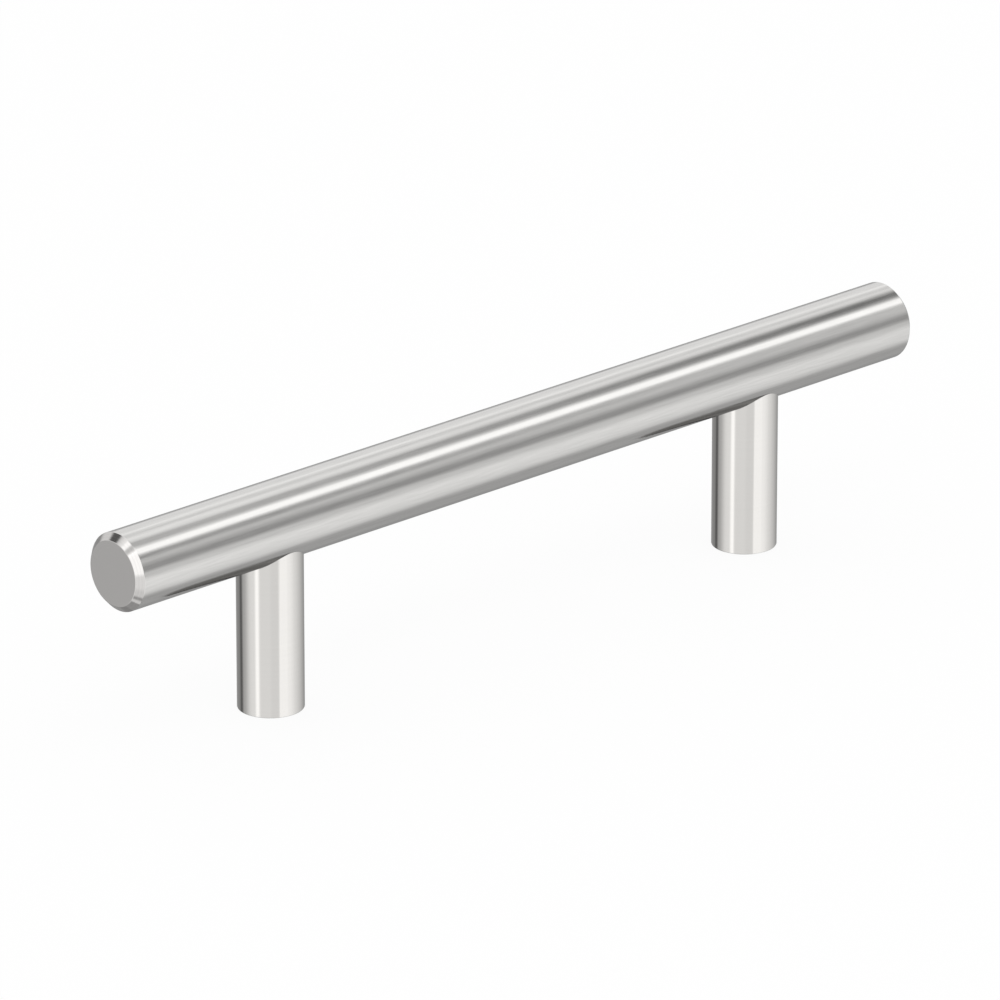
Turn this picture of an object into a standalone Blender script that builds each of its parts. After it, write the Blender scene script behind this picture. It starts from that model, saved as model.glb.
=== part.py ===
# T bar cabinet pull: a solid round bar on two turned posts, each joined to it by
# a concealed set screw. Metres, +Z up. The feet stand on z = 0, which is the face
# of the door, and the bar runs along X above them.

import math

import bpy

# Bar
BAR_DIAMETER = 0.012
BAR_LENGTH = 0.156
BAR_CHAMFER = 0.001

# Posts
HOLE_SPACING = 0.096
PROJECTION = 0.035
POST_DIAMETER = 0.010
FOOT_EDGE_BREAK = 0.00015

# Metric coarse thread, 4 mm, in the posts and in the bar. Its helix is not cut in
# these solids: a hole has the thread's outer diameter, and a stud is smaller by the
# seat gap all round.
THREAD_DIAMETER = 0.004
MOUTH_COUNTERSINK = 0.0005
BAR_HOLE_DEPTH = 0.007
DRILL_POINT_ANGLE = math.radians(118)

# Joining studs: headless set screws
STUD_LENGTH = 0.012
STUD_IN_BAR = 0.006
STUD_END_CHAMFER = 0.0004
SOCKET_ACROSS_FLATS = 0.002
SOCKET_DEPTH = 0.0022

# Clearance that every piece keeps to the piece it seats on
SEAT_GAP = 0.0003

# How far a cutter stands out of what it cuts
OVERRUN = 0.002

# Facets round each turned shape
BAR_STEPS = 128
POST_STEPS = 96
BORE_STEPS = 48

SHARP_EDGE_ANGLE = math.radians(30)
MERGE_DISTANCE = 0.000001

# Finish of each piece: colour, roughness, metallic
BAR_STEEL = ((0.62, 0.61, 0.60, 1.0), 0.28, 1.0)
POST_STEEL = ((0.66, 0.65, 0.64, 1.0), 0.14, 1.0)
STUD_STEEL = ((0.36, 0.36, 0.37, 1.0), 0.42, 1.0)

# Sizes that follow from the ones above
BAR_RADIUS = BAR_DIAMETER / 2
POST_RADIUS = POST_DIAMETER / 2
THREAD_RADIUS = THREAD_DIAMETER / 2
STUD_RADIUS = THREAD_RADIUS - SEAT_GAP
BAR_AXIS_HEIGHT = PROJECTION - BAR_RADIUS
BAR_UNDERSIDE_HEIGHT = BAR_AXIS_HEIGHT - BAR_RADIUS
POST_PLACES = {"left": -HOLE_SPACING / 2, "right": HOLE_SPACING / 2}


def clear_scene():
    for obj in list(bpy.data.objects):
        bpy.data.objects.remove(obj, do_unlink=True)


def new_collection(name):
    collection = bpy.data.collections.new(name)
    bpy.context.scene.collection.children.link(collection)
    return collection


def steel(name, finish):
    colour, roughness, metallic = finish
    material = bpy.data.materials.new(name)
    material.use_nodes = True
    surface = material.node_tree.nodes["Principled BSDF"]
    surface.inputs["Base Color"].default_value = colour
    surface.inputs["Roughness"].default_value = roughness
    surface.inputs["Metallic"].default_value = metallic
    material.diffuse_color = colour
    return material


def turned(name, profile, steps, collection):
    # The profile is a list of (radius, height), from the top down its outer side.
    mesh = bpy.data.meshes.new(name)
    points = [(radius, 0, height) for radius, height in profile]
    edges = [(i, i + 1) for i in range(len(points) - 1)]
    mesh.from_pydata(points, edges, [])
    obj = bpy.data.objects.new(name, mesh)
    collection.objects.link(obj)
    turn = obj.modifiers.new("Turn", "SCREW")
    turn.axis = "Z"
    turn.angle = math.tau
    turn.steps = steps
    turn.render_steps = steps
    turn.use_merge_vertices = True
    turn.merge_threshold = MERGE_DISTANCE
    return obj


def as_cutter(obj):
    obj.hide_render = True
    obj.display_type = "WIRE"
    return obj


def cut(obj, *tools):
    for tool in tools:
        boolean = obj.modifiers.new("Cut " + tool.name, "BOOLEAN")
        boolean.operation = "DIFFERENCE"
        boolean.solver = "EXACT"
        boolean.object = tool


def finish(obj, material):
    # The cut shape becomes the object's own mesh, smooth where it is round.
    graph = bpy.context.evaluated_depsgraph_get()
    mesh = bpy.data.meshes.new_from_object(obj.evaluated_get(graph))
    mesh.name = obj.name
    obj.modifiers.clear()
    obj.data = mesh
    mesh.materials.clear()
    mesh.materials.append(material)
    mesh.shade_smooth()
    mesh.set_sharp_from_angle(angle=SHARP_EDGE_ANGLE)


def drill_point(radius):
    return radius / math.tan(DRILL_POINT_ANGLE / 2)


def make_bar_blank(collection):
    half = BAR_LENGTH / 2
    profile = [
        (0, half),
        (BAR_RADIUS - BAR_CHAMFER, half),
        (BAR_RADIUS, half - BAR_CHAMFER),
        (BAR_RADIUS, BAR_CHAMFER - half),
        (BAR_RADIUS - BAR_CHAMFER, -half),
        (0, -half),
    ]
    bar = turned("bar", profile, BAR_STEPS, collection)
    bar.location.z = BAR_AXIS_HEIGHT
    bar.rotation_euler.y = math.radians(90)
    return bar


def make_bar_hole(side, place, collection):
    # A blind hole from below, with the cone that its drill leaves.
    top = BAR_HOLE_DEPTH
    profile = [
        (0, top + drill_point(THREAD_RADIUS)),
        (THREAD_RADIUS, top),
        (THREAD_RADIUS, -OVERRUN),
        (0, -OVERRUN),
    ]
    hole = turned("bar_hole_" + side, profile, BORE_STEPS, collection)
    hole.location = (place, 0, BAR_UNDERSIDE_HEIGHT)
    return as_cutter(hole)


def make_saddle_cutter(collection):
    # The bar's own cylinder, larger by the seat gap, longer than both posts reach.
    half = HOLE_SPACING / 2 + POST_RADIUS + OVERRUN
    radius = BAR_RADIUS + SEAT_GAP
    profile = [(0, half), (radius, half), (radius, -half), (0, -half)]
    saddle = turned("saddle_cutter", profile, BAR_STEPS, collection)
    saddle.location.z = BAR_AXIS_HEIGHT
    saddle.rotation_euler.y = math.radians(90)
    return as_cutter(saddle)


def make_post_blank(side, place, collection):
    # It stands up to the bar's axis, and the saddle cut shortens it to the bar.
    profile = [
        (0, BAR_AXIS_HEIGHT),
        (POST_RADIUS, BAR_AXIS_HEIGHT),
        (POST_RADIUS, FOOT_EDGE_BREAK),
        (POST_RADIUS - FOOT_EDGE_BREAK, 0),
        (0, 0),
    ]
    post = turned("post_" + side, profile, POST_STEPS, collection)
    post.location.x = place
    return post


def make_post_bore(side, place, collection):
    # The tapped hole right through a post, flared to a countersink at the foot.
    flare = MOUTH_COUNTERSINK + OVERRUN
    profile = [
        (0, BAR_AXIS_HEIGHT + OVERRUN),
        (THREAD_RADIUS, BAR_AXIS_HEIGHT + OVERRUN),
        (THREAD_RADIUS, MOUTH_COUNTERSINK),
        (THREAD_RADIUS + flare, -OVERRUN),
        (0, -OVERRUN),
    ]
    bore = turned("post_bore_" + side, profile, BORE_STEPS, collection)
    bore.location.x = place
    return as_cutter(bore)


def make_stud_blank(side, place, collection):
    # It stands on its lower end, which is the origin of its profile.
    profile = [
        (0, STUD_LENGTH),
        (STUD_RADIUS - STUD_END_CHAMFER, STUD_LENGTH),
        (STUD_RADIUS, STUD_LENGTH - STUD_END_CHAMFER),
        (STUD_RADIUS, STUD_END_CHAMFER),
        (STUD_RADIUS - STUD_END_CHAMFER, 0),
        (0, 0),
    ]
    stud = turned("stud_" + side, profile, BORE_STEPS, collection)
    stud.location = (place, 0, BAR_UNDERSIDE_HEIGHT + STUD_IN_BAR - STUD_LENGTH)
    return stud


def make_socket_cutter(stud, side, collection):
    # Hexagon for the key, as deep as the socket, open at the stud's lower end.
    reach = SOCKET_DEPTH + OVERRUN
    corner_radius = SOCKET_ACROSS_FLATS / math.sqrt(3)
    centre = stud.location.z + SOCKET_DEPTH - reach / 2
    bpy.ops.mesh.primitive_cylinder_add(
        vertices=6,
        radius=corner_radius,
        depth=reach,
        location=(stud.location.x, stud.location.y, centre),
    )
    socket = bpy.context.object
    socket.name = "socket_" + side
    for holder in list(socket.users_collection):
        holder.objects.unlink(socket)
    collection.objects.link(socket)
    return as_cutter(socket)


def make_origin(collection):
    # Everything hangs on one empty in the middle of the mounting plane.
    origin = bpy.data.objects.new("mounting_plane", None)
    origin.empty_display_size = POST_RADIUS
    collection.objects.link(origin)
    return origin


def build():
    clear_scene()
    parts = new_collection("t_bar_cabinet_pull")
    cutters = new_collection("cutters")
    bar_steel = steel("brushed_bar_steel", BAR_STEEL)
    post_steel = steel("bright_turned_steel", POST_STEEL)
    stud_steel = steel("set_screw_steel", STUD_STEEL)

    bar = make_bar_blank(parts)
    saddle = make_saddle_cutter(cutters)
    finishes = {bar: bar_steel}
    for side, place in POST_PLACES.items():
        cut(bar, make_bar_hole(side, place, cutters))
        post = make_post_blank(side, place, parts)
        cut(post, saddle, make_post_bore(side, place, cutters))
        stud = make_stud_blank(side, place, parts)
        cut(stud, make_socket_cutter(stud, side, cutters))
        finishes[post] = post_steel
        finishes[stud] = stud_steel

    bpy.context.view_layer.update()
    origin = make_origin(parts)
    for piece, material in finishes.items():
        finish(piece, material)
        piece.parent = origin
    cutters.hide_render = True


build()
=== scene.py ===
import math
import bpy
from mathutils import Matrix, Vector


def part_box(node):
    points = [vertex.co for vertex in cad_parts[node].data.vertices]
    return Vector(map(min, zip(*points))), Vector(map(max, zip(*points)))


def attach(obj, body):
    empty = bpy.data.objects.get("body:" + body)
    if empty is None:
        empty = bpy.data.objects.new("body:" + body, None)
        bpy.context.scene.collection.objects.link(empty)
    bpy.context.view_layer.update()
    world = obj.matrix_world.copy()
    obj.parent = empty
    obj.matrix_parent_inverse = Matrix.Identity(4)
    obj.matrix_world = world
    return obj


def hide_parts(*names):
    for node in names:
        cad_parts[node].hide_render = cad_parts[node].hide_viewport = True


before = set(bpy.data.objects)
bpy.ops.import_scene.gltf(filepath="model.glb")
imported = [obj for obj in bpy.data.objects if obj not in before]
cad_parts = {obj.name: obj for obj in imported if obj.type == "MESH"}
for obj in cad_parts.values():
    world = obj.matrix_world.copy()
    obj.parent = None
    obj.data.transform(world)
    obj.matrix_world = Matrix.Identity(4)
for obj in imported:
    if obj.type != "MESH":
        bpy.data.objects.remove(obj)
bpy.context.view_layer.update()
print("frame loaded:", ", ".join(sorted(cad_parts)))

mm = 0.001
micron = 0.001 * mm
sides = ("left", "right")

bench = {
    "touching": 0.01 * mm,    # how near counts as the same place
    "mergeWithin": 0.2 * micron,
    "sawWithin": 0.001 * micron,
    "roundedUnder": 25,    # edges that turn by less than this many degrees are smooth
    "largeFaceWeight": 100,    # the largest faces at a corner decide its normal
    "weighedAt": 1024,    # times its size, and a power of two changes no coordinate
}
touching = bench["touching"]


# Bench helpers

def deselectAll():
    if bpy.context.mode != "OBJECT":
        bpy.ops.object.mode_set(mode="OBJECT")
    bpy.ops.object.select_all(action="DESELECT")


def pick(piece):
    deselectAll()
    piece.select_set(True)
    bpy.context.view_layer.objects.active = piece


def settle(piece):
    # the place goes into the mesh, as a CAD node's does
    pick(piece)
    bpy.ops.object.transform_apply(location=True, rotation=True, scale=True)


def rename(piece, name):
    piece.name = name
    piece.data.name = name


def placeCopy(piece, name, x):
    # a copy with its own mesh, that far along the bar
    copy = piece.copy()
    copy.data = piece.data.copy()
    bpy.context.scene.collection.objects.link(copy)
    rename(copy, name)
    copy.location.x = x
    settle(copy)
    return copy


def bevelEdges(piece, wanted, width, segments):
    # wanted(a, b) picks the edges, from the places of their two ends
    pick(piece)
    bpy.ops.object.mode_set(mode="EDIT")
    bpy.ops.mesh.select_mode(type="EDGE")
    bpy.ops.mesh.select_all(action="DESELECT")
    bpy.ops.object.mode_set(mode="OBJECT")
    points = piece.data.vertices
    for edge in piece.data.edges:
        edge.select = wanted(*(points[i].co for i in edge.vertices))
    bpy.ops.object.mode_set(mode="EDIT")
    bpy.ops.mesh.bevel(offset=width, segments=segments, affect="EDGES")
    bpy.ops.object.mode_set(mode="OBJECT")


def sawOff(piece, height, keepAbove):
    # cut square across and closed with a flat face
    pick(piece)
    bpy.ops.object.mode_set(mode="EDIT")
    bpy.ops.mesh.select_all(action="SELECT")
    bpy.ops.mesh.bisect(
        plane_co=(0, 0, height), plane_no=(0, 0, 1), use_fill=True, threshold=bench["sawWithin"],
        clear_inner=keepAbove, clear_outer=not keepAbove)
    bpy.ops.object.mode_set(mode="OBJECT")


def closeMesh(piece):
    # merged where it doubles, with its faces turned outwards
    pick(piece)
    bpy.ops.object.mode_set(mode="EDIT")
    bpy.ops.mesh.select_all(action="SELECT")
    bpy.ops.mesh.remove_doubles(threshold=bench["mergeWithin"])
    bpy.ops.mesh.normals_make_consistent(inside=False)
    bpy.ops.object.mode_set(mode="OBJECT")


def shape(piece, tool, operation="DIFFERENCE"):
    # the tool is used up
    pick(piece)
    cut = piece.modifiers.new("Cut", "BOOLEAN")
    cut.operation = operation
    cut.solver = "EXACT"
    cut.object = tool
    bpy.ops.object.modifier_apply(modifier=cut.name)
    bpy.data.objects.remove(tool)


def smooth(piece):
    # large faces keep their true normals, and the narrow rounded edges take the turn
    pick(piece)
    bpy.ops.object.shade_smooth_by_angle(angle=math.radians(bench["roundedUnder"]))
    # the modifier passes over faces as small as these in metres, so they are weighed enlarged
    enlarged = bench["weighedAt"]
    piece.scale = (enlarged, enlarged, enlarged)
    settle(piece)
    even = piece.modifiers.new("Even", "WEIGHTED_NORMAL")
    even.weight = bench["largeFaceWeight"]
    even.keep_sharp = True
    bpy.ops.object.modifier_apply(modifier=even.name)
    piece.scale = (1 / enlarged, 1 / enlarged, 1 / enlarged)
    settle(piece)


def addRound(name, radius, low, high, facets, tipRadius=None):
    # a round blank or cutter that stands from one height to another
    deselectAll()
    middle = (0, 0, (low + high) / 2)
    tall = high - low
    if tipRadius is None:
        bpy.ops.mesh.primitive_cylinder_add(vertices=facets, radius=radius, depth=tall, location=middle)
    else:
        bpy.ops.mesh.primitive_cone_add(
            vertices=facets, radius1=radius, radius2=tipRadius, depth=tall, location=middle)
    blank = bpy.context.object
    rename(blank, name)
    settle(blank)
    return blank


def addLyingRound(name, radius, length, height, facets):
    # the same along X, for the bar and for what fits round it
    deselectAll()
    bpy.ops.mesh.primitive_cylinder_add(
        vertices=facets, radius=radius, depth=length,
        location=(0, 0, height), rotation=(0, math.radians(90), 0))
    blank = bpy.context.object
    rename(blank, name)
    settle(blank)
    return blank


def paint(piece, finishes, choose):
    # choose(centre, normal) names the finish of each face
    names = list(finishes)
    for name in names:
        piece.data.materials.append(finishes[name])
    for face in piece.data.polygons:
        face.material_index = names.index(choose(face.center, face.normal))


# The frame gives every size that the pieces seat on

barLow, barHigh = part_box("bar")
barRadius = (barHigh.z - barLow.z) / 2
barHeight = (barHigh.z + barLow.z) / 2
barUnderside = barLow.z
barHalfLength = (barHigh.x - barLow.x) / 2
postLow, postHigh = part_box("post_right")
postRadius = (postHigh.x - postLow.x) / 2
postSpread = (postHigh.x + postLow.x) / 2
postPlaces = {"left": -postSpread, "right": postSpread}
studLow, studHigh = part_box("stud_right")


# Threads

metricThread = {
    "pitch": 0.7 * mm,    # coarse pitch of the 4 mm thread
    "flankAngle": 30,
    "steps": 48,
    "tapped": {"core": 1.62 * mm, "crest": 2.0 * mm, "crestFlat": 0.088 * mm},
    "screw": {"core": 1.53 * mm, "crest": 1.95 * mm, "crestFlat": 0.085 * mm},
    "trim": 0.01 * mm,    # keeps a drill or a blank off the thread's own surface
    "drillAngle": 118,
}


def drawOutline(name, points):
    # a plane shrunk to its middle, then drawn on from point to point, each (radius, height)
    deselectAll()
    bpy.ops.mesh.primitive_plane_add(size=mm, location=(points[0][0], 0, points[0][1]))
    outline = bpy.context.object
    rename(outline, name)
    settle(outline)
    bpy.ops.object.mode_set(mode="EDIT")
    bpy.ops.mesh.select_mode(type="VERT")
    bpy.ops.mesh.select_all(action="SELECT")
    bpy.ops.mesh.merge(type="CENTER")
    for (radius, height), (nextRadius, nextHeight) in zip(points, points[1:]):
        step = (nextRadius - radius, 0, nextHeight - height)
        bpy.ops.mesh.extrude_vertices_move(TRANSFORM_OT_translate={"value": step})
    bpy.ops.object.mode_set(mode="OBJECT")
    return outline


def windThread(name, form, low, high):
    # one turn's outline is wound up the axis; every thread starts on the same phase, so they mesh
    pitch = metricThread["pitch"]
    flank = (form["crest"] - form["core"]) * math.tan(math.radians(metricThread["flankAngle"]))
    start = (math.floor(low / pitch) - 1) * pitch
    middle = start + pitch / 2
    crestHalf = form["crestFlat"] / 2
    rod = drawOutline(name, [
        (form["core"], start),
        (form["core"], middle - crestHalf - flank),
        (form["crest"], middle - crestHalf),
        (form["crest"], middle + crestHalf),
        (form["core"], middle + crestHalf + flank),
        (form["core"], start + pitch),
    ])
    wind = rod.modifiers.new("Wind", "SCREW")
    wind.axis = "Z"
    wind.angle = math.tau
    wind.steps = metricThread["steps"]
    wind.render_steps = metricThread["steps"]
    wind.screw_offset = pitch
    wind.iterations = math.ceil((high - start) / pitch) + 1
    bpy.ops.object.modifier_apply(modifier=wind.name)
    closeMesh(rod)
    sawOff(rod, low, keepAbove=True)
    sawOff(rod, high, keepAbove=False)
    closeMesh(rod)
    return rod


def makeDrill(name, radius, low, high):
    # a round cutter that ends in a drill's point
    drill = addRound(name, radius, low, high, metricThread["steps"])
    for face in drill.data.polygons:
        face.select = face.center.z > high - touching
    bpy.ops.object.mode_set(mode="EDIT")
    tip = radius / math.tan(math.radians(metricThread["drillAngle"] / 2))
    bpy.ops.mesh.extrude_region_move(TRANSFORM_OT_translate={"value": (0, 0, tip)})
    bpy.ops.mesh.merge(type="CENTER")
    bpy.ops.object.mode_set(mode="OBJECT")
    return drill


# Materials

def toLinear(hexColour):
    values = [int(hexColour[i:i + 2], 16) / 255 for i in (1, 3, 5)]
    linear = [v / 12.92 if v <= 0.04045 else ((v + 0.055) / 1.055) ** 2.4 for v in values]
    return (*linear, 1.0)


def addNode(tree, kind, inputs=None, **settings):
    node = tree.nodes.new(kind)
    for name, value in settings.items():
        setattr(node, name, value)
    for socket, value in (inputs or {}).items():
        if isinstance(value, bpy.types.NodeSocket):
            tree.links.new(value, node.inputs[socket])
        else:
            node.inputs[socket].default_value = value
    return node


noiseRange = {    # the part of each noise's 0 to 1 that most of it falls in
    "marks": (0.3, 0.7),
    "wear": (0.35, 0.65),
}


def makeSteel(name, spec, drawGrain):
    # drawGrain gives the tool marks as a height from 0 to 1, which tone, dull and dent the metal
    material = bpy.data.materials.new(name)
    material.use_nodes = True
    tree = material.node_tree
    surface = tree.nodes["Principled BSDF"]
    place = addNode(tree, "ShaderNodeTexCoord").outputs["Object"]
    low, high = noiseRange["marks"]
    marks = addNode(tree, "ShaderNodeMapRange", {
        "Value": drawGrain(tree, place), "From Min": low, "From Max": high}).outputs["Result"]
    tone = addNode(tree, "ShaderNodeMix", {    # sockets 6 and 7 are its two colours
        0: marks, 6: toLinear(spec["deep"]), 7: toLinear(spec["pale"])}, data_type="RGBA")
    hand = addNode(tree, "ShaderNodeTexNoise", {
        "Vector": place, "Scale": 1 / spec["wearSize"], "Detail": 2.0})
    low, high = noiseRange["wear"]
    wear = addNode(tree, "ShaderNodeMapRange", {
        "Value": hand.outputs["Fac"], "From Min": low, "From Max": high,
        "To Min": -spec["wear"], "To Max": spec["wear"]})
    dull = addNode(tree, "ShaderNodeMapRange", {
        "Value": marks,
        "To Min": spec["roughness"] - spec["roughnessSpread"],
        "To Max": spec["roughness"] + spec["roughnessSpread"]})
    rough = addNode(tree, "ShaderNodeMath", {
        0: dull.outputs["Result"], 1: wear.outputs["Result"]}, operation="ADD")
    dents = addNode(tree, "ShaderNodeBump", {
        "Height": marks, "Distance": spec["depth"], "Strength": 1.0})
    tree.links.new(tone.outputs[2], surface.inputs["Base Color"])
    tree.links.new(rough.outputs["Value"], surface.inputs["Roughness"])
    tree.links.new(dents.outputs["Normal"], surface.inputs["Normal"])
    surface.inputs["Metallic"].default_value = 1.0
    return material


def drawRings(tree, fromAxis, spec):
    # lathe rings: the marks change only with the distance from the axis
    radius = addNode(tree, "ShaderNodeVectorMath", {0: fromAxis}, operation="LENGTH")
    return addNode(tree, "ShaderNodeTexNoise", {
        "W": radius.outputs["Value"], "Scale": 1 / spec["ringWidth"], "Detail": 2.0,
    }, noise_dimensions="1D").outputs["Fac"]


brushedSteel = {
    "pale": "#D6D5D3",
    "deep": "#CECDCB",
    "roughness": 0.15,
    "roughnessSpread": 0.025,
    "grainWidth": 0.24 * mm,    # a real brushing line is 0.05 mm wide, too fine for the picture
    "grainLength": 6 * mm,
    "depth": 0.05 * micron,
    "wearSize": 9 * mm,
    "wear": 0.015,
}


def makeBrushedSteel():
    # stainless bar brushed along its length: fine long lines that soften the lights across the bar
    spec = brushedSteel

    def drawGrain(tree, place):
        stretch = (1 / spec["grainLength"], 1 / spec["grainWidth"], 1 / spec["grainWidth"])
        along = addNode(tree, "ShaderNodeMapping", {"Vector": place, "Scale": stretch})
        return addNode(tree, "ShaderNodeTexNoise", {
            "Vector": along.outputs["Vector"], "Scale": 1.0, "Detail": 3.0, "Roughness": 0.55,
        }).outputs["Fac"]
    return makeSteel("brushedStainlessSteel", spec, drawGrain)


facedSteel = {
    "pale": "#DCDAD8",
    "deep": "#D7D5D3",
    "roughness": 0.11,
    "roughnessSpread": 0.012,
    "ringWidth": 0.16 * mm,    # the tool's feed is nearer 0.08 mm, too fine for the picture
    "depth": 0.006 * micron,
    "wearSize": 4 * mm,
    "wear": 0.02,
}


def makeFacedSteel():
    # bar end faced and chamfered on the lathe: rings round the bar's own axis
    spec = facedSteel

    def drawGrain(tree, place):
        fromAxis = addNode(tree, "ShaderNodeVectorMath", {
            0: place, 1: (0, 0, barHeight)}, operation="SUBTRACT")
        across = addNode(tree, "ShaderNodeVectorMath", {
            0: fromAxis.outputs["Vector"], 1: (0, 1, 1)}, operation="MULTIPLY")
        return drawRings(tree, across.outputs["Vector"], spec)
    return makeSteel("facedStainlessSteel", spec, drawGrain)


turnedSteel = {
    "pale": "#DAD8D5",
    "deep": "#D8D6D3",
    "roughness": 0.1,
    "roughnessSpread": 0.006,
    "ringWidth": 0.14 * mm,    # fine turned rings, about 0.05 mm apart on the real post
    "ringReach": 12 * mm,
    "depth": 0.004 * micron,
    "wearSize": 6 * mm,
    "wear": 0.01,
}


def makeTurnedSteel():
    # post turned and polished bright: crisp upright bands, with the finest of rings across them
    spec = turnedSteel

    def drawGrain(tree, place):
        stretch = (1 / spec["ringReach"], 1 / spec["ringReach"], 1 / spec["ringWidth"])
        rings = addNode(tree, "ShaderNodeMapping", {"Vector": place, "Scale": stretch})
        return addNode(tree, "ShaderNodeTexNoise", {
            "Vector": rings.outputs["Vector"], "Scale": 1.0, "Detail": 2.0,
        }).outputs["Fac"]
    return makeSteel("turnedStainlessSteel", spec, drawGrain)


footSteel = {
    "pale": "#D2D1CF",
    "deep": "#C4C3C1",
    "roughness": 0.24,
    "roughnessSpread": 0.05,
    "ringWidth": 0.18 * mm,
    "depth": 0.15 * micron,
    "wearSize": 3 * mm,
    "wear": 0.03,
}


def makeFootSteel():
    # foot faced on the lathe and left as it came: open rings round the thread
    spec = footSteel

    def drawGrain(tree, place):
        parts = addNode(tree, "ShaderNodeSeparateXYZ", {0: place})
        reach = addNode(tree, "ShaderNodeMath", {0: parts.outputs["X"]}, operation="ABSOLUTE")
        fromAxis = addNode(tree, "ShaderNodeMath", {
            0: reach.outputs["Value"], 1: postSpread}, operation="SUBTRACT")
        across = addNode(tree, "ShaderNodeCombineXYZ", {
            0: fromAxis.outputs["Value"], 1: parts.outputs["Y"]})
        return drawRings(tree, across.outputs["Vector"], spec)
    return makeSteel("facedFootSteel", spec, drawGrain)


tappedSteelWithPaintedShade = {
    # both colours are darker than the outside steel: painted shade in the hole
    "pale": "#B9B8B6",
    "deep": "#9D9C9A",
    "roughness": 0.34,
    "roughnessSpread": 0.08,
    "tearWidth": 0.12 * mm,
    "depth": 1.2 * micron,
    "wearSize": 1.5 * mm,
    "wear": 0.04,
}


def makeTappedSteelWithPaintedShade():
    # drilled and tapped hole: torn by the tap and never polished, so it is rougher than the outside; its
    # darker colour is painted shade in the hole
    spec = tappedSteelWithPaintedShade

    def drawGrain(tree, place):
        return addNode(tree, "ShaderNodeTexNoise", {
            "Vector": place, "Scale": 1 / spec["tearWidth"], "Detail": 3.0,
        }).outputs["Fac"]
    return makeSteel("tappedSteelWithPaintedShade", spec, drawGrain)


setScrewSteel = {
    "pale": "#8F9093",
    "deep": "#77787B",
    "roughness": 0.42,
    "roughnessSpread": 0.07,
    "blotchSize": 0.4 * mm,
    "depth": 0.6 * micron,
    "wearSize": 2 * mm,
    "wear": 0.05,
}


def makeSetScrewSteel():
    # hardened set screw, rolled and left dull grey: blotched, with no polish on it
    spec = setScrewSteel

    def drawGrain(tree, place):
        return addNode(tree, "ShaderNodeTexNoise", {
            "Vector": place, "Scale": 1 / spec["blotchSize"], "Detail": 4.0, "Roughness": 0.6,
        }).outputs["Fac"]
    return makeSteel("hardenedSetScrewSteel", spec, drawGrain)


# Bar

barPiece = {
    "facets": 256,
    "chamfer": 1.0 * mm,
    "edgeRound": 0.05 * mm,
    "holeDepth": 7.0 * mm,
    "threadDepth": 6.6 * mm,
    "overrun": 1.5 * mm,
    "pastHoles": 3.0 * mm,    # over the bar's axis, and beyond any drill point
    "straightDown": 0.98,    # a face beside a hole that points down by this much is the bar's skin
}


def makeBar(finishes):
    spec = barPiece
    bar = addLyingRound("turnedBar", barRadius, 2 * barHalfLength, barHeight, spec["facets"])
    chamferFrom = barHalfLength - spec["chamfer"] - touching

    def atEnd(a, b):
        return min(abs(a.x), abs(b.x)) > barHalfLength - touching and a.x * b.x > 0
    bevelEdges(bar, atEnd, spec["chamfer"], 1)

    def atCorner(a, b):
        return abs(a.x - b.x) < touching and abs(a.x) > chamferFrom
    bevelEdges(bar, atCorner, spec["edgeRound"], 2)

    # blind holes for the joining studs: drilled to a point, then tapped
    form = metricThread["tapped"]
    mouth = barUnderside - spec["overrun"]
    drillEnd = barUnderside + spec["holeDepth"]
    drill = makeDrill("drill", form["core"] - metricThread["trim"], mouth, drillEnd)
    tap = windThread("tap", form, mouth, barUnderside + spec["threadDepth"])
    for tool in (drill, tap):
        for place in postPlaces.values():
            shape(bar, placeCopy(tool, "cutter", place))
        bpy.data.objects.remove(tool)
    closeMesh(bar)

    def finishOf(centre, normal):
        offAxis = math.hypot(abs(centre.x) - postSpread, centre.y)
        overPost = offAxis < form["crest"] + touching and centre.z < barHeight + spec["pastHoles"]
        if overPost and abs(normal.z) < spec["straightDown"]:
            return "tapped"
        if abs(centre.x) > chamferFrom:
            return "faced"
        return "brushed"
    paint(bar, finishes, finishOf)
    smooth(bar)
    return bar


# Posts

postPiece = {
    "facets": 192,
    "footEdge": 0.15 * mm,
    "seat": 0.01 * mm,
    "countersink": 0.5 * mm,
    "overrun": 1.0 * mm,
}


def makePosts(finishes):
    spec = postPiece
    form = metricThread["tapped"]
    post = addRound("turnedPost", postRadius, 0, barHeight, spec["facets"])

    def atFoot(a, b):
        return max(a.z, b.z) < touching
    bevelEdges(post, atFoot, spec["footEdge"], 2)

    # the saddle is milled to the bar, the hole tapped right through and countersunk below
    below = -spec["overrun"]
    seatRadius = barRadius + spec["seat"]
    shape(post, addLyingRound("saddleCutter", seatRadius, 4 * postRadius, barHeight, barPiece["facets"]))
    shape(post, windThread("tap", form, below, barHeight))
    mouth = form["crest"] + spec["countersink"] + spec["overrun"]
    shape(post, addRound("countersink", mouth, below, below + mouth, metricThread["steps"], tipRadius=0))
    closeMesh(post)
    skin = postRadius - 2 * touching

    def finishOf(centre, normal):
        offAxis = math.hypot(centre.x, centre.y)
        if offAxis < form["crest"] + touching:
            return "tapped"
        if offAxis > skin:
            return "turned"
        return "foot" if centre.z < spec["footEdge"] + spec["countersink"] else "tapped"
    paint(post, finishes, finishOf)
    smooth(post)
    posts = {side: placeCopy(post, "turnedPost" + side.capitalize(), postPlaces[side]) for side in sides}
    bpy.data.objects.remove(post)
    return posts


# Joining studs

studPiece = {
    "endChamfer": 0.4 * mm,
    "socketSides": 6,
    "socketFlats": 2.0 * mm,
    "socketDepth": 2.2 * mm,
    "overrun": 1.0 * mm,
}


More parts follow.
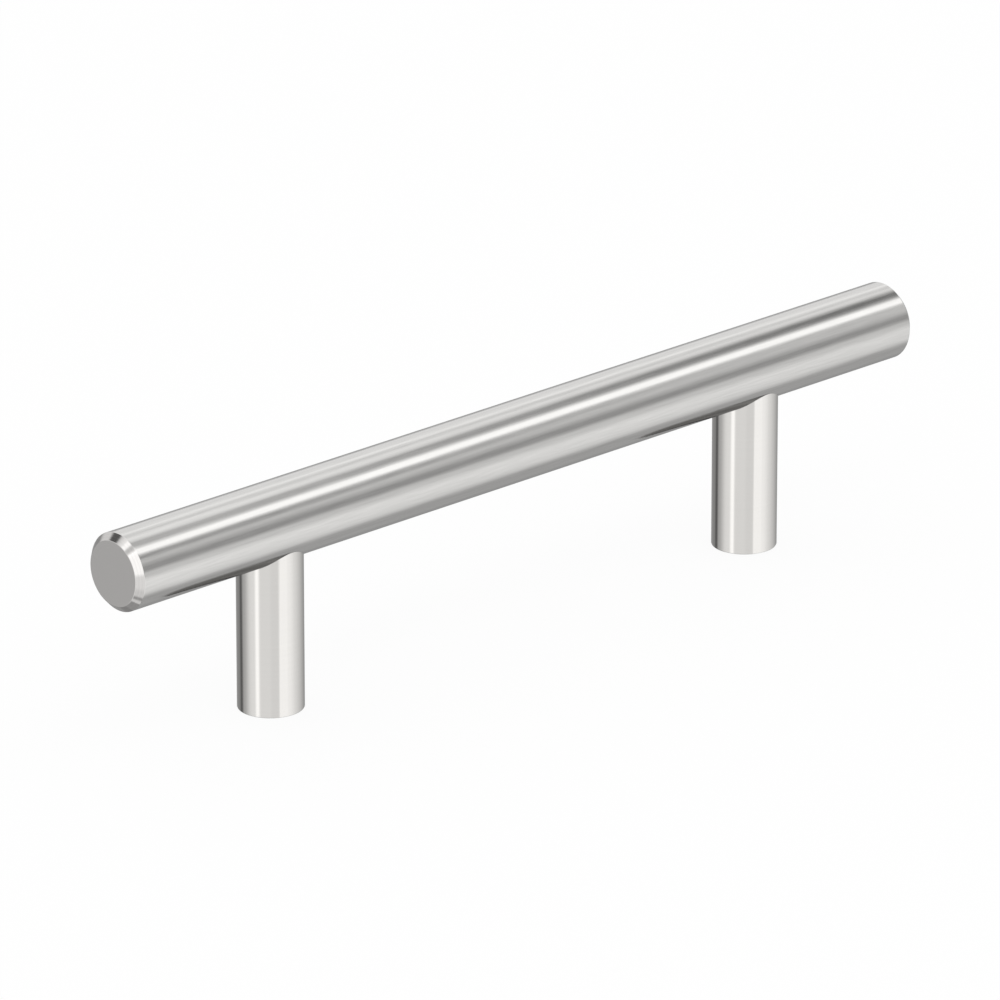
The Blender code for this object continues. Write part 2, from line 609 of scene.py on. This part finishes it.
def makeStuds(finishes):
    # a headless set screw, its socket down where the key reaches it through the post
    spec = studPiece
    form = metricThread["screw"]
    blankRadius = form["crest"] - metricThread["trim"]
    stud = addRound("setScrew", blankRadius, studLow.z, studHigh.z, 2 * metricThread["steps"])

    def atRim(a, b):
        return abs(a.z - b.z) < touching
    bevelEdges(stud, atRim, spec["endChamfer"], 1)
    mouth = studLow.z - spec["overrun"]
    shape(stud, windThread("rolledThread", form, mouth, studHigh.z + spec["overrun"]), "INTERSECT")
    depth = studLow.z + spec["socketDepth"]
    flatRadius = spec["socketFlats"] / 2
    cornerRadius = flatRadius / math.cos(math.pi / spec["socketSides"])
    shape(stud, makeDrill("socketPilot", flatRadius - metricThread["trim"], mouth, depth))
    shape(stud, addRound("socketBroach", cornerRadius, mouth, depth, spec["socketSides"]))
    closeMesh(stud)
    paint(stud, finishes, lambda centre, normal: "setScrew")
    smooth(stud)
    studs = {side: placeCopy(stud, "setScrew" + side.capitalize(), postPlaces[side]) for side in sides}
    bpy.data.objects.remove(stud)
    return studs


# Camera, floor and light

# The camera that was fitted to the photograph: it stands to the left of the front, above
# the bar, and looks at a point over the middle of the mounting plane, slid in its own picture.
view = {
    "azimuth": -42.3922,
    "elevation": 21.4827,
    "distance": 1.57888,
    "lookAt": 18 * mm,
    "slideRight": -1.78 * mm,
    "slideUp": 1.62 * mm,
    "focalPixels": 10580.6,
    "frameWidth": 1000,    # pixels
    "sensor": 36.0,
    "clip": (0.1, 50),
}


def makeCamera():
    around = math.radians(view["azimuth"])
    above = math.radians(view["elevation"])
    level = math.cos(above)
    back = Vector((math.sin(around) * level, -math.cos(around) * level, math.sin(above)))
    right = Vector((0, 0, 1)).cross(back).normalized()
    up = back.cross(right)
    data = bpy.data.cameras.new("photographCamera")
    data.sensor_width = view["sensor"]
    data.lens = view["focalPixels"] * view["sensor"] / view["frameWidth"]
    data.clip_start, data.clip_end = view["clip"]
    camera = bpy.data.objects.new("photographCamera", data)
    bpy.context.scene.collection.objects.link(camera)
    target = Vector((0, 0, view["lookAt"])) + right * view["slideRight"] + up * view["slideUp"]
    place = target + back * view["distance"]
    turn = Matrix((right, up, back)).transposed().to_4x4()
    camera.matrix_world = Matrix.Translation(place) @ turn
    bpy.context.scene.camera = camera


floorPiece = {
    "size": 16.0,
    "colour": "#FAFAFA",
    "ownWhite": 0.9,    # this share of what the camera sees of it is plain white
    "drop": 0.02 * mm,    # so that it doesn't meet the feet face to face
}


def makeFloor():
    deselectAll()
    bpy.ops.mesh.primitive_plane_add(size=floorPiece["size"], location=(0, 0, -floorPiece["drop"]))
    floor = bpy.context.object
    rename(floor, "paleFloor")
    material = bpy.data.materials.new("paleSweepPaper")
    material.use_nodes = True
    tree = material.node_tree
    tree.nodes.clear()
    # the camera sees mostly the paper's own white, and the rest of it keeps the shadow
    rays = addNode(tree, "ShaderNodeLightPath")
    matt = addNode(tree, "ShaderNodeBsdfDiffuse", {"Color": toLinear(floorPiece["colour"])})
    white = addNode(tree, "ShaderNodeEmission", {"Strength": 1.0})
    share = addNode(tree, "ShaderNodeMath", {
        0: rays.outputs["Is Camera Ray"], 1: floorPiece["ownWhite"]}, operation="MULTIPLY")
    seen = addNode(tree, "ShaderNodeMixShader", {
        0: share.outputs["Value"], 1: matt.outputs["BSDF"], 2: white.outputs["Emission"]})
    # from below it is clear, so that the underside can be looked at
    under = addNode(tree, "ShaderNodeNewGeometry")
    clear = addNode(tree, "ShaderNodeBsdfTransparent")
    both = addNode(tree, "ShaderNodeMixShader", {
        0: under.outputs["Backfacing"], 1: seen.outputs["Shader"], 2: clear.outputs["BSDF"]})
    addNode(tree, "ShaderNodeOutputMaterial", {"Surface": both.outputs["Shader"]})
    floor.data.materials.append(material)
    floor.visible_glossy = False    # the metal mirrors the studio's low panels in its place


# What the metal mirrors in the white studio. Each panel is at an angle, as wide as twice
# "half", fades over "soft", and is as bright as "level", where 1 is the white background.
studio = {
    "plain": 0.95,
    # strips hung along the bar, by the angle round it: 0 in front, 90 overhead, 180 behind
    "strips": [
        {"at": 159, "half": 2, "soft": 10, "level": 0.94},
        {"at": 137, "half": 1, "soft": 6, "level": 1.22},
        {"at": 125.4, "half": 1, "soft": 5, "level": 0.91},
        {"at": 109.6, "half": 2, "soft": 8, "level": 1.15},
        {"at": 123, "half": 1, "soft": 4, "level": 0.86},
        {"at": 88.4, "half": 6.3, "soft": 6.3, "level": 0.62},
        {"at": 38.8, "half": 13, "soft": 4, "level": 0.75},
        {"at": 10.5, "half": 6, "soft": 18.5, "level": 0.40},
    ],
    # they hang mostly to the right, and thin out to this share, on a wall of this level
    "stripsAtLeft": 0.75,
    "plainAtLeft": 0.9,
    "leftToRight": 0.2,    # they change over this far each way of the middle, as a direction's X
    # screens that stand round the posts, by azimuth: 0 behind, 90 at the right, 180 in front
    "screens": [
        {"at": 30, "half": 30, "soft": 82, "level": 0.36},
        {"at": -28, "half": 0, "soft": 40, "level": 0.47},
        {"at": -2, "half": 6, "soft": 12, "level": 0.30},
        {"at": -21, "half": 2.5, "soft": 12, "level": 0.13},
        {"at": -137.5, "half": 29.5, "soft": 4, "level": 0.95},
        {"at": -157, "half": 9, "soft": 12, "level": 0.90},
        {"at": 162, "half": 5, "soft": 30, "level": 1.20},
        {"at": 175, "half": 13.5, "soft": 2, "level": 1.27},
    ],
    "screensFrom": 5,    # elevation at which the strips give way to the screens
    "screensTo": -10,
    # single cards, by azimuth and elevation
    "cards": [
        {"at": -88, "half": 8, "up": 2, "tall": 8, "soft": 8, "level": 0.55},
        {"at": -94, "half": 3, "up": -24, "tall": 6, "soft": 9, "level": 1.40},
        {"at": -118, "half": 12, "up": 18, "tall": 18, "soft": 9, "level": 1.37},
        {"at": -77, "half": 5, "up": 48, "tall": 5, "soft": 8, "level": 1.40},
        {"at": -5, "half": 8, "up": 16, "tall": 4, "soft": 8, "level": 0.82},
        {"at": -29, "half": 7.5, "up": 38.5, "tall": 7, "soft": 12, "level": 0.12},
        {"at": 39, "half": 12, "up": -5, "tall": 3, "soft": 12, "level": 0.42},
        {"at": 12, "half": 8, "up": -6, "tall": 4, "soft": 16, "level": 0.33},
        {"at": 4, "half": 12, "up": -62, "tall": 6, "soft": 6, "level": 0.29},
        {"at": -124, "half": 12, "up": -46, "tall": 3, "soft": 12, "level": 0.79},
        {"at": -116, "half": 5, "up": -59, "tall": 1, "soft": 5, "level": 0.38},
        {"at": -105, "half": 6, "up": -68, "tall": 2, "soft": 6, "level": 0.80},
        {"at": 90, "half": 16, "up": -54, "tall": 4, "soft": 21, "level": 0.47},
        {"at": 141, "half": 12, "up": -5, "tall": 0.6, "soft": 13, "level": 0.80},
    ],
    "ground": {"from": -45, "to": -70, "level": 0.36},
    "mirroredTwice": 0.265,    # metal seen in metal reads dark, as under the bar beside each post
}


def makeWorld():
    world = bpy.data.worlds.new("studio")
    bpy.context.scene.world = world
    world.use_nodes = True
    tree = world.node_tree
    tree.nodes.clear()

    def calculate(operation, *values):
        sockets = dict(enumerate(values))
        return addNode(tree, "ShaderNodeMath", sockets, operation=operation).outputs["Value"]

    def ease(value, start, end):
        sockets = {"Value": value, "From Min": start, "From Max": end}
        return addNode(
            tree, "ShaderNodeMapRange", sockets, interpolation_type="SMOOTHSTEP").outputs["Result"]

    def blend(share, low, high):
        return addNode(tree, "ShaderNodeMix", {0: share, 2: low, 3: high}).outputs[0]

    def cover(angle, at, half, soft):
        # 1 on the panel, 0 clear of it, right round the circle
        away = calculate("PINGPONG", calculate("SUBTRACT", angle, at), 180.0)
        return ease(away, half + soft, half)

    def panels(angle, wanted):
        level = 1.0
        for panel in wanted:
            level = blend(cover(angle, panel["at"], panel["half"], panel["soft"]), level, panel["level"])
        return level

    direction = addNode(tree, "ShaderNodeTexCoord").outputs["Generated"]
    parts = addNode(tree, "ShaderNodeSeparateXYZ", {0: direction})
    x, y, z = (parts.outputs[axis] for axis in "XYZ")
    roll = calculate("DEGREES", calculate("ARCTAN2", z, calculate("MULTIPLY", y, -1.0)))
    azimuth = calculate("DEGREES", calculate("ARCTAN2", x, y))
    elevation = calculate("DEGREES", calculate("ARCSINE", z))

    reach = addNode(tree, "ShaderNodeMapRange", {
        "Value": x, "From Min": -studio["leftToRight"], "From Max": studio["leftToRight"],
        "To Min": studio["stripsAtLeft"], "To Max": 1.0})
    high = blend(reach.outputs["Result"], studio["plainAtLeft"], panels(roll, studio["strips"]))
    low = ease(elevation, studio["screensFrom"], studio["screensTo"])
    pattern = blend(low, high, panels(azimuth, studio["screens"]))
    ground = studio["ground"]
    pattern = blend(ease(elevation, ground["from"], ground["to"]), pattern, ground["level"])
    for card in studio["cards"]:
        wide = cover(azimuth, card["at"], card["half"], card["soft"])
        tall = cover(elevation, card["up"], card["tall"], card["soft"])
        pattern = blend(calculate("MULTIPLY", wide, tall), pattern, card["level"])

    # the camera, mirrors and glass show the white background, and metal the panels on it
    rays = addNode(tree, "ShaderNodeLightPath")
    mirrored = rays.outputs["Is Glossy Ray"]
    twice = calculate("GREATER_THAN", rays.outputs["Glossy Depth"], 1.5)    # mirrored once, it is 1
    direct = calculate("ADD", rays.outputs["Is Camera Ray"], rays.outputs["Is Transmission Ray"])
    shown = calculate("MINIMUM", calculate("ADD", direct, mirrored), 1.0)
    background = blend(shown, studio["plain"], 1.0)
    inMetal = calculate("MULTIPLY", pattern, blend(twice, 1.0, studio["mirroredTwice"]))
    strength = calculate("MULTIPLY", background, blend(mirrored, 1.0, inMetal))
    sky = addNode(tree, "ShaderNodeBackground", {"Color": (1, 1, 1, 1), "Strength": strength})
    addNode(tree, "ShaderNodeOutputWorld", {"Surface": sky.outputs["Background"]})


softbox = {
    "roll": 65,
    "distance": 1.5,
    "length": 3.6,
    "depth": 0.42,
    "brightness": 0.53,    # what it adds to the white it hangs before
}


def makeSoftbox():
    data = bpy.data.lights.new("overheadSoftbox", "AREA")
    data.shape = "RECTANGLE"
    data.size = softbox["length"]
    data.size_y = softbox["depth"]
    data.energy = softbox["brightness"] * math.pi * softbox["length"] * softbox["depth"]
    lamp = bpy.data.objects.new("overheadSoftbox", data)
    bpy.context.scene.collection.objects.link(lamp)
    roll = math.radians(softbox["roll"])
    out = Vector((0, -math.cos(roll), math.sin(roll)))
    along = Vector((1, 0, 0))
    place = Vector((0, 0, barHeight)) + out * softbox["distance"]
    turn = Matrix((along, out.cross(along), out)).transposed().to_4x4()
    lamp.matrix_world = Matrix.Translation(place) @ turn
    lamp.visible_camera = False


# Graduated flags close to the bar: it mirrors one overhead as a band that deepens to the
# right, and one in front of it as a line that deepens to the left. "from", "peak" and "end"
# are where each starts, is darkest and ends along X.
flagPieces = [
    {
        "name": "overheadFlag", "roll": 94, "depth": 0.43, "darkness": 0.73,
        "from": 0.337, "peak": 0.50, "end": 1.0,
    },
    {
        "name": "frontFlag", "roll": 46, "depth": 0.20, "darkness": 0.526,
        "from": 0.12, "peak": 0.30, "end": 0.465,
    },
]
flagDistance = 0.5


def makeFlag(spec):
    roll = math.radians(spec["roll"])
    out = Vector((0, -math.cos(roll), math.sin(roll)))
    middle = Vector(((spec["from"] + spec["end"]) / 2, 0, barHeight)) + out * flagDistance
    deselectAll()
    facingBar = (math.radians(90) - roll, 0, 0)
    bpy.ops.mesh.primitive_plane_add(size=1, location=middle, rotation=facingBar)
    flag = bpy.context.object
    rename(flag, spec["name"])
    flag.scale = (spec["end"] - spec["from"], spec["depth"], 1)
    settle(flag)
    material = bpy.data.materials.new(spec["name"] + "Cloth")
    material.use_nodes = True
    tree = material.node_tree
    tree.nodes.clear()
    # how far each point is off the flag's middle line, and where it is along X
    place = addNode(tree, "ShaderNodeTexCoord").outputs["Object"]
    fromMiddle = addNode(tree, "ShaderNodeVectorMath", {0: place, 1: middle}, operation="SUBTRACT")
    acrossFlag = out.cross(Vector((1, 0, 0)))
    offLine = addNode(tree, "ShaderNodeVectorMath", {
        0: fromMiddle.outputs["Vector"], 1: acrossFlag}, operation="DOT_PRODUCT")
    away = addNode(tree, "ShaderNodeMath", {0: offLine.outputs["Value"]}, operation="ABSOLUTE")
    x = addNode(tree, "ShaderNodeSeparateXYZ", {0: place}).outputs["X"]

    def ramp(value, start, end, top, kind="LINEAR"):
        sockets = {"Value": value, "From Min": start, "From Max": end, "To Max": top}
        return addNode(tree, "ShaderNodeMapRange", sockets, interpolation_type=kind).outputs["Result"]
    rising = ramp(x, spec["from"], spec["peak"], spec["darkness"])
    falling = ramp(x, spec["end"], spec["peak"], spec["darkness"])
    along = addNode(tree, "ShaderNodeMath", {0: rising, 1: falling}, operation="MINIMUM")
    across = ramp(away.outputs["Value"], spec["depth"] / 2, 0.0, 1.0, "SMOOTHSTEP")
    dark = addNode(tree, "ShaderNodeMath", {0: along.outputs["Value"], 1: across}, operation="MULTIPLY")
    clear = addNode(tree, "ShaderNodeBsdfTransparent")
    black = addNode(tree, "ShaderNodeBsdfDiffuse", {"Color": (0, 0, 0, 1)})
    cloth = addNode(tree, "ShaderNodeMixShader", {
        0: dark.outputs["Value"], 1: clear.outputs["BSDF"], 2: black.outputs["BSDF"]})
    addNode(tree, "ShaderNodeOutputMaterial", {"Surface": cloth.outputs["Shader"]})
    flag.data.materials.append(material)
    flag.visible_camera = False
    flag.visible_diffuse = False
    flag.visible_shadow = False


makeCamera()
makeFloor()
makeWorld()
makeSoftbox()
for flagPiece in flagPieces:
    makeFlag(flagPiece)
bpy.context.scene.view_settings.view_transform = "Standard"
print("camera, floor and light set")

brushed = makeBrushedSteel()
faced = makeFacedSteel()
turned = makeTurnedSteel()
foot = makeFootSteel()
tapped = makeTappedSteelWithPaintedShade()
setScrew = makeSetScrewSteel()
print("materials made")

bar = makeBar({"brushed": brushed, "faced": faced, "tapped": tapped})
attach(bar, "root")
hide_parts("bar")
print("bar made")

posts = makePosts({"turned": turned, "foot": foot, "tapped": tapped})
studs = makeStuds({"setScrew": setScrew})
for side in sides:
    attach(posts[side], "root")
    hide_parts("post_" + side)
    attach(studs[side], "root")
    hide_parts("stud_" + side)
print("posts and studs made")
